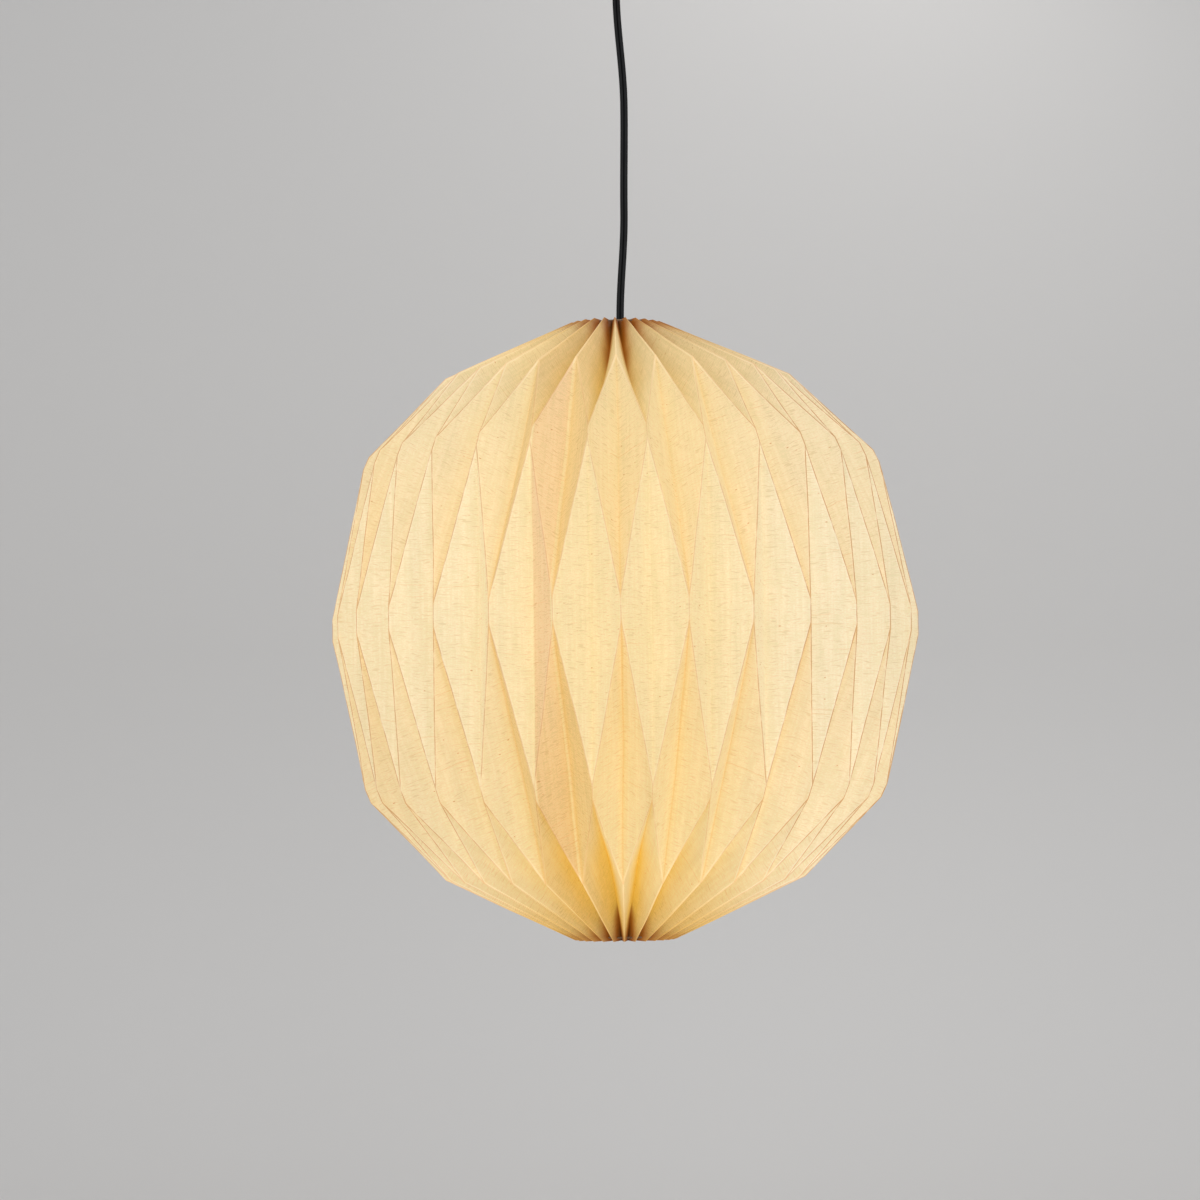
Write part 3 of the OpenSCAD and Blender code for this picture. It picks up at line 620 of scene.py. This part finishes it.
def light_from_inside(bm, across, level):
    """Paints how bright and how warm the paper's light is at each corner of each face."""
    glow = bm.loops.layers.float.new("glow")
    warmth = bm.loops.layers.float.new("warmth")
    bm.normal_update()
    for face in bm.faces:
        for loop in face.loops:
            v = loop.vert
            depth = max(0.0, v[across] / STRIP) ** 1.5
            height = v[level]
            outward = max(0.0, face.normal.dot(v.co.normalized()))
            if v.co.z > 0:
                light, warm, furrow, bounced = TOP_LIGHT, TOP_WARMTH, TOP_FURROW, 0.5
            else:
                light, warm, furrow, bounced = BOTTOM_LIGHT, BOTTOM_WARMTH, BOTTOM_FURROW, 0.75
            shaded = 1 + depth * (by_level(furrow, height) - 1)
            # Painted side light: the glow and the warmth change a little from the left of the globe to the right.
            painted_side_light = v.co.x / EQUATOR_R
            if v.co.z > 0:
                shaded *= 1 - painted_side_light * (0.04 + by_level([(0.18, 0), (0.28, 0.4)], height))
            else:
                shaded *= 1 + painted_side_light * by_level([(0.0, -0.04), (0.12, 0.04)], height)
            loop[glow] = by_level(light, height) * shaded * (0.9 + 0.1 * outward)
            bounced *= depth * by_level([(0.16, 0), (0.23, 1)], height)
            if v.co.z > 0:
                bounced += max(0.0, painted_side_light) * by_level([(0.13, 0), (0.18, 0.5), (0.24, 0.3), (0.28, 0)], height)
            loop[warmth] = by_level(warm, height) + bounced


def settle(bm):
    """Paper is never quite true: the globe leans a little and its facets drape."""
    half = EDGE_LEVEL * 0.74
    noise.seed_set(5)
    for v in bm.verts:
        p = v.co.copy()
        lean = math.cos(math.pi * p.z / (2 * half))
        v.co.x += 0.0034 * lean - 0.0026 - 0.0005 * p.z / half
        if p.z < 0:
            v.co.z *= 1.006
        v.co += noise.noise_vector(p / 0.11) * 0.0009 + noise.noise_vector(p / 0.035) * 0.0003


make_shade(paper_material())

# ---- lampholder, bulb and ceiling fitting -----------------------------------


def turned(profile, segments=96, closed=True):
    """A shape turned on the lamp's axis, from (radius, height) points in metres."""
    bm = bmesh.new()
    verts = [bm.verts.new((r, 0, z)) for r, z in profile]
    edges = [bm.edges.new(pair) for pair in zip(verts, verts[1:] + verts[:1] if closed else verts[1:])]
    bmesh.ops.spin(bm, geom=verts + edges, cent=(0, 0, 0), axis=(0, 0, 1), angle=2 * math.pi,
                   steps=segments, use_merge=True)
    bmesh.ops.remove_doubles(bm, verts=bm.verts, dist=1e-6)
    bmesh.ops.recalc_face_normals(bm, faces=bm.faces)
    return bm


def round_edges(bm, radius, sharper=30, segments=3):
    """A small rounding on every edge that turns by more than the given angle."""
    sharp = [e for e in bm.edges if e.is_manifold and e.calc_face_angle() > math.radians(sharper)]
    bmesh.ops.bevel(bm, geom=sharp, offset=radius, offset_type="OFFSET", segments=segments, profile=0.5,
                    affect="EDGES", clamp_overlap=True, material=-1)
    return bm


def arc(centre, radius_r, radius_z, steps=10):
    """A quarter of an ellipse, from its top round to its side."""
    points = []
    for k in range(steps + 1):
        a = math.pi / 2 * k / steps
        points.append((centre[0] + radius_r * math.sin(a), centre[1] + radius_z * math.cos(a)))
    return points


def make_ceiling_cup(material):
    """A drawn cup with a rounded bottom edge and a hole for the cord grip."""
    low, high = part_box("ceiling_cup")
    radius, wall, fillet, hole = high.x, 0.0016, 0.010, 0.0052
    corner = (radius - fillet, low.z + fillet)
    outside = [(hole, low.z)] + arc(corner, fillet, -fillet) + [(radius, high.z)]
    inside = [(radius - wall, high.z)] + arc(corner, fillet - wall, wall - fillet)[::-1]
    inside.append((hole, low.z + wall))
    bm = round_edges(turned(outside + inside, 128), 0.0004)
    new_piece("ceiling_cup_shell", bm, [material], replaces=["ceiling_cup"])


def make_grip(name, node, foot_z, head_z, stem_z, material):
    """A cord grip: a hexagon foot, a ribbed round body and a stem, open for the cord."""
    up = 1 if head_z > foot_z else -1
    foot_r, body_r, bore_r, stem_r, foot_h = 0.009, 0.0075, 0.0034, 0.005, 0.004
    crest = head_z - up * 0.003
    body = [(bore_r, head_z - up * 0.0006), (bore_r + 0.0006, head_z), (body_r - 0.0015, head_z)]
    body += [(body_r, crest), (body_r, foot_z + up * foot_h)]
    body += [(stem_r, foot_z), (stem_r, stem_z), (bore_r, stem_z)]
    bm = turned(body, 48)
    ribs = [f for f in bm.faces if abs(f.normal.z) < 0.1 and f.calc_center_median().xy.length > body_r * 0.98]
    bmesh.ops.inset_individual(bm, faces=ribs, thickness=0.00018, depth=-0.00025)
    foot_bore = 0.0044
    foot_top = foot_z + up * foot_h
    foot = turned([(foot_bore, foot_z), (foot_r, foot_z), (foot_r, foot_top), (foot_bore, foot_top)], 6)
    foot_mesh = bpy.data.meshes.new("foot")
    round_edges(foot, 0.0005, segments=2).to_mesh(foot_mesh)
    foot.free()
    bm.from_mesh(foot_mesh)
    bpy.data.meshes.remove(foot_mesh)
    return new_piece(name, bm, [material], replaces=[node], smooth=False)


def make_lampholder(material):
    """The cap and the skirt of the lampholder, with a rib pattern to hold it by."""
    cap_low, cap_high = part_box("holder_cap")
    radius, wall, hole = cap_high.x, 0.002, 0.0052
    shoulder = (0.010, cap_high.z - 0.014)
    outside = [(hole, cap_high.z)] + arc(shoulder, radius - 0.010, 0.014) + [(radius, cap_low.z)]
    inside = [(radius - wall, cap_low.z)] + arc(shoulder, radius - 0.010 - wall, 0.012)[::-1]
    inside.append((hole, cap_high.z - wall))
    bm = round_edges(turned(outside + inside), 0.0004)
    new_piece("lampholder_cap", bm, [material], replaces=["holder_cap"])

    skirt_low, skirt_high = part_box("holder_skirt")
    seam = cap_low.z
    flare = skirt_high.x
    neck = radius - wall - 0.00015
    profile = [(neck, skirt_high.z), (neck, seam), (radius, seam), (radius, skirt_low.z + 0.001),
               (flare, skirt_low.z), (radius - wall, skirt_low.z), (radius - wall, seam - wall),
               (neck - wall, seam - wall), (neck - wall, skirt_high.z)]
    bm = turned(profile, 120)
    ribs = [f for f in bm.faces if abs(f.normal.z) < 0.1
            and f.calc_center_median().xy.length > radius * 0.995 and f.calc_area() > 2e-5]
    bmesh.ops.inset_individual(bm, faces=ribs, thickness=0.0003, depth=-0.0004)
    new_piece("lampholder_skirt", round_edges(bm, 0.0003, segments=2), [material],
              replaces=["holder_skirt"])


def make_bulb(glass, metal):
    """An opal globe bulb: a rolled screw cap below a glass that swells into a round end."""
    tip, low = bulb_high.z, bulb_low.z
    crest, groove, pitch, turns = 0.0132, 0.0008, 0.0036, 6
    cap = [(0.0038, tip), (0.0048, tip - 0.0008), (0.0116, tip - 0.0039)]
    for k in range(turns * 8 + 1):
        dip = groove * (1 - math.cos(2 * math.pi * k / 8)) / 2
        cap.append((crest - dip, tip - 0.0045 - k * pitch / 8))
    cap_end = cap[-1][1] - 0.001
    start = math.radians(50)
    centre_z = low + BULB_R

    def on_globe(a):
        return Vector((BULB_R * math.sin(a), centre_z + BULB_R * math.cos(a)))

    a, d = Vector((crest, cap_end)), on_globe(start)
    b, c = a - Vector((0, 0.009)), d - 0.009 * Vector((math.cos(start), -math.sin(start)))
    glass_line = []
    for k in range(13):
        t = k / 12
        glass_line.append(a * (1 - t) ** 3 + b * 3 * t * (1 - t) ** 2 + c * 3 * t * t * (1 - t) + d * t ** 3)
    glass_line += [on_globe(start + (math.pi - start) * k / 24) for k in range(1, 25)]
    profile = [(0, tip)] + cap + [(p.x, p.y) for p in glass_line]
    bm = turned(profile, 96, closed=False)
    for face in bm.faces:
        face.material_index = 1 if face.calc_center_median().z > cap_end else 0
    new_piece("opal_bulb", bm, [glass, metal], replaces=["bulb"])


black_plastic = plain_material("moulded black plastic", (0.014, 0.014, 0.016), 0.38, grain=700)
ceramic = plain_material("glazed ceramic", (0.74, 0.72, 0.67), 0.18, grain=250, mottle=0.04, bump=0.1)
zinc = brushed_material("zinc plated steel", (0.62, 0.63, 0.64), 0.34)
brass = brushed_material("stamped brass", (0.78, 0.56, 0.22), 0.26)

cup_low, cup_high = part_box("ceiling_cup")
disc_low, disc_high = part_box("carrier_disc")
make_ceiling_cup(plain_material("satin black cup", (0.016, 0.016, 0.017), 0.45, grain=500))
cup_grip_low, cup_grip_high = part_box("cup_grip")
make_grip("ceiling_cord_grip", "cup_grip", cup_low.z, cup_grip_low.z, cup_grip_high.z, black_plastic)
holder_grip_low, holder_grip_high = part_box("holder_grip")
make_grip("lampholder_cord_grip", "holder_grip", disc_high.z, holder_grip_high.z, holder_grip_low.z,
          black_plastic)
make_lampholder(black_plastic)
make_bulb(opal_glass_material(), brass)
disc_profile = [(0.0052, disc_low.z), (0.0052, disc_high.z), (disc_high.x, disc_high.z),
                (disc_high.x, disc_low.z)]
new_piece("globe_carrier", round_edges(turned(disc_profile), 0.0003), [zinc], replaces=["carrier_disc"])

elastic = elastic_material()
finishes = {"top_tie": elastic, "bottom_tie": elastic, "holder_core": ceramic, "terminal_block": ceramic,
            "terminal_screws": brass, "centre_contact": brass, "screw_sleeve": brass,
            "block_screws": brass, "grip_nut": zinc, "ceiling_bracket": zinc, "cup_screws": zinc}
for node, finish in finishes.items():
    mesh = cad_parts[node].data
    mesh.materials.clear()
    mesh.materials.append(finish)

# ---- stage ------------------------------------------------------------------


def stage_material(name, colour):
    n = Nodes(name)
    n.set(Base_Color=(*colour, 1), Roughness=0.9)
    return n.material


def make_stage():
    """A pale floor that curves up into a pale wall."""
    floor_z, wall_y, curve, half = -1.25, 2.2, 0.8, 6
    bm = bmesh.new()
    profile = [(-half, floor_z)]
    for k in range(13):
        a = math.pi / 2 * k / 12
        profile.append((wall_y - curve + curve * math.sin(a), floor_z + curve - curve * math.cos(a)))
    profile.append((wall_y, half))
    verts = [bm.verts.new((-half, y, z)) for y, z in profile]
    edges = [bm.edges.new(pair) for pair in zip(verts, verts[1:])]
    grown = bmesh.ops.extrude_edge_only(bm, edges=edges)["geom"]
    moved = [v for v in grown if isinstance(v, bmesh.types.BMVert)]
    bmesh.ops.translate(bm, verts=moved, vec=(2 * half, 0, 0))
    mesh = bpy.data.meshes.new("stage")
    bm.to_mesh(mesh)
    bm.free()
    mesh.shade_smooth()
    mesh.materials.append(stage_material("pale floor", (0.68, 0.66, 0.64)))
    stage = bpy.data.objects.new("stage", mesh)
    bpy.context.scene.collection.objects.link(stage)


def area_light(name, place, size, power, colour=(1, 1, 1)):
    data = bpy.data.lights.new(name, "AREA")
    data.shape = "DISK"
    data.size = size
    data.energy = power
    data.color = colour
    obj = bpy.data.objects.new(name, data)
    obj.location = place
    obj.rotation_euler = (GLOBE - Vector(place)).to_track_quat("-Z", "Y").to_euler()
    bpy.context.scene.collection.objects.link(obj)


make_stage()
area_light("key", (1.3, -2.9, 0.2), 2.4, 31, (0.93, 0.97, 1.0))
area_light("fill", (-1.9, -2.5, 0.5), 2.4, 22, (0.93, 0.97, 1.0))
area_light("back", (0.6, 1.6, 1.4), 1.2, 14)
world = bpy.data.worlds.new("studio")
world.use_nodes = True
world.node_tree.nodes["Background"].inputs["Color"].default_value = (0.8, 0.82, 0.85, 1)
world.node_tree.nodes["Background"].inputs["Strength"].default_value = 0.66
bpy.context.scene.world = world
bpy.context.scene.view_settings.view_transform = "Standard"
